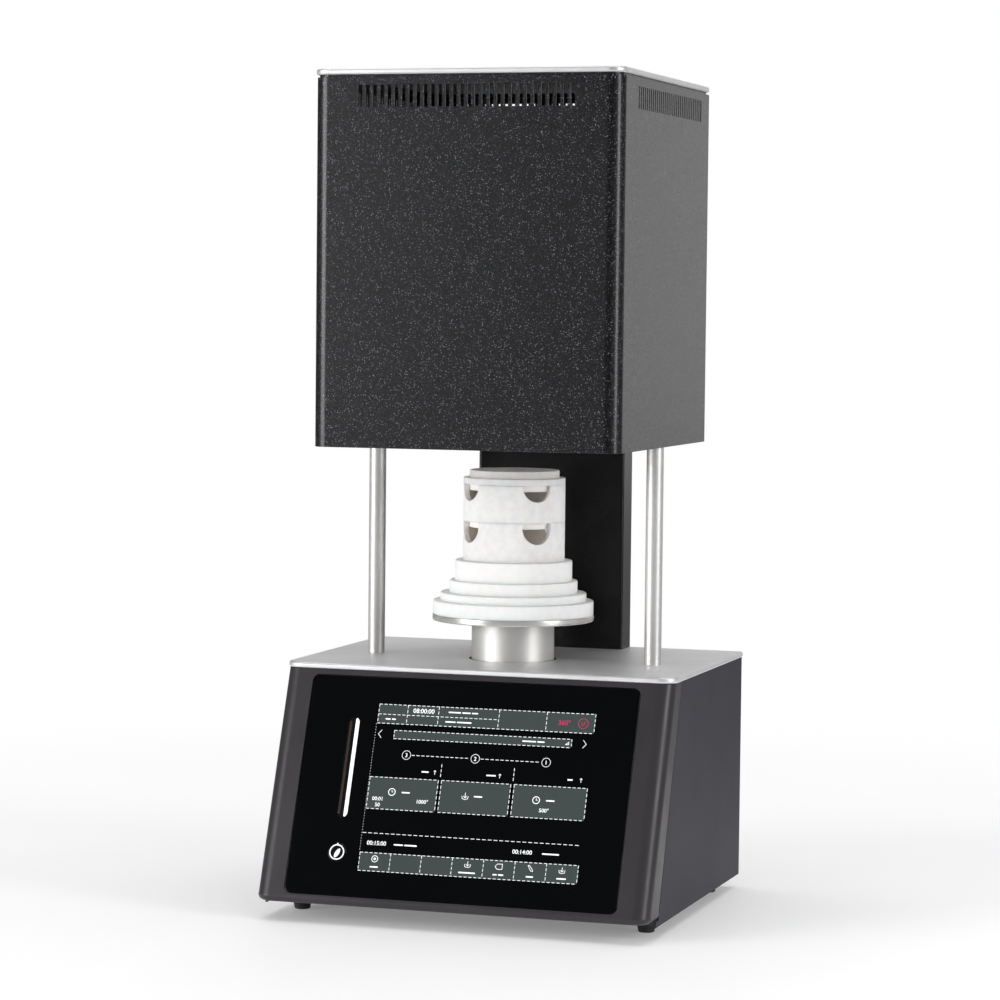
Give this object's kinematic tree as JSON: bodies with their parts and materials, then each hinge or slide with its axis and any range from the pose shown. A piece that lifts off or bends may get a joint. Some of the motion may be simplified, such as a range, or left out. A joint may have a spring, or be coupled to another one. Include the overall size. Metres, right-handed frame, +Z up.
{
  "type": "dental sintering furnace",
  "caption": "Bench-top dental furnace: touch-screen base, two columns and a black head, with a motor lift that raises ceramic firing trays into the heated chamber.",
  "frame": {"origin": "centre of the footprint, on the surface the furnace stands on", "axes": "+Z up, -Y the side with the touch screen, +X to the right of someone facing the screen"},
  "size_m": [0.376, 0.3396, 0.7748],
  "materials": {
    "silver_plate": "bead-blasted, bright edge",
    "front_shell": "satin brown-grey",
    "side_panel": "fine satin",
    "dark_sheet": "satin",
    "foot_rubber": "matt",
    "screw_steel": "blackened",
    "front_glass": "black glass",
    "display": "gloss",
    "light": "lit",
    "key": "gloss",
    "board": "solder mask",
    "transformer": "laminated",
    "machined_frame": "machined",
    "motor_black": "satin",
    "pulley": "machined",
    "belt": "matt",
    "ground_steel": "ground",
    "wiper": "matt",
    "column": "satin",
    "black_coat": "sparkle powder coat",
    "lead_cover": "silicone",
    "loom_cover": "braided",
    "jacket": "mill finish",
    "insulation": "fibre board",
    "element": "glazed",
    "clamp": "ceramic",
    "strap": "braid",
    "probe": "ceramic",
    "moulding": "moulded",
    "wire": "plated",
    "ram": "turned satin",
    "lift_plate": "turned",
    "plug_ceramic": "fibre ceramic",
    "tray_ceramic": "alumina",
    "nut_bronze": "machined"
  },
  "bodies": {
    "root": {"base_top_plate": "silver_plate", "front_shell": "front_shell", "side_panel_left": "side_panel", "side_panel_right": "side_panel", "base_rear_panel": "dark_sheet", "base_floor": "dark_sheet", "feet": "foot_rubber", "screws": "screw_steel", "glass_panel": "front_glass", "display_frame": "dark_sheet", "display_module": "display", "light_bar": "light", "control_board": "board", "power_board": "board", "transformer": "transformer", "drive_frame": "machined_frame", "motor": "motor_black", "drive_belt": "belt", "guide_rods": "ground_steel", "ram_wiper": "wiper", "columns": "column", "column_nuts": "screw_steel", "rear_column": "black_coat", "heater_leads": "lead_cover", "signal_loom": "loom_cover", "head_bottom_plate": "black_coat", "head_casing": "black_coat", "head_rear_panel": "black_coat", "head_top_plate": "silver_plate", "insulation_jacket": "jacket", "throat_block": "insulation", "chamber_block": "insulation", "roof_block": "insulation", "heating_elements": "element", "element_clamps": "clamp", "terminal_straps": "strap", "thermocouple": "probe", "mains_inlet": "moulding", "data_socket": "moulding", "switch_housing": "moulding", "fan_frame": "moulding", "fan_guard": "wire"},
    "lift": {"ram": "ram", "lift_plate": "lift_plate", "plug_tier_1": "plug_ceramic", "plug_tier_2": "plug_ceramic", "plug_tier_3": "plug_ceramic", "plug_tier_4": "plug_ceramic", "carriage": "machined_frame", "spindle_nut": "nut_bronze", "guide_bearings": "ground_steel"},
    "lower_tray": {"tray_lower": "tray_ceramic"},
    "upper_tray": {"tray_upper": "tray_ceramic"},
    "lid": {"tray_lid": "tray_ceramic"},
    "spindle_rotor": {"spindle": "ground_steel", "spindle_pulley": "pulley"},
    "motor_rotor": {"motor_pulley": "pulley"},
    "fan_rotor": {"fan_impeller": "moulding"},
    "power_key": {"power_button": "key"},
    "mains_rocker": {"rocker": "moulding"}
  },
  "joints": [
    {"name": "lift_slide", "type": "slide", "parent": "root", "child": "lift", "axis": [0, 0, 1], "range_m": [0, 0.16]},
    {"name": "spindle_turn", "type": "hinge", "parent": "root", "child": "spindle_rotor", "pos_m": [0, 0.01925, 0.0235], "axis": [0, 0, 1], "continuous": true},
    {"name": "motor_turn", "type": "hinge", "parent": "root", "child": "motor_rotor", "pos_m": [0, 0.09725, 0.04], "axis": [0, 0, 1], "continuous": true},
    {"name": "lower_tray_lift", "type": "slide", "parent": "lift", "child": "lower_tray", "axis": [0, 0, 1], "range_m": [0, 0.008]},
    {"name": "upper_tray_lift", "type": "slide", "parent": "lower_tray", "child": "upper_tray", "axis": [0, 0, 1], "range_m": [0, 0.008]},
    {"name": "lid_lift", "type": "slide", "parent": "upper_tray", "child": "lid", "axis": [0, 0, 1], "range_m": [0, 0.008]},
    {"name": "fan_turn", "type": "hinge", "parent": "root", "child": "fan_rotor", "pos_m": [-0.118, 0.15175, 0.0635], "axis": [0, 1, 0], "continuous": true},
    {"name": "power_press", "type": "slide", "parent": "root", "child": "power_key", "axis": [0, 0.933, -0.36], "range_m": [0, 0.0012], "stiffness_N_per_m": 600},
    {"name": "mains_rock", "type": "hinge", "parent": "root", "child": "mains_rocker", "pos_m": [0.084, 0.15795, 0.0635], "axis": [1, 0, 0], "range_deg": [0, 16]}
  ],
  "couplings": [
    {"joint": "spindle_turn", "follows": "lift_slide", "rad_per_m": -785.4},
    {"joint": "motor_turn", "follows": "lift_slide", "rad_per_m": -1570.8}
  ]
}
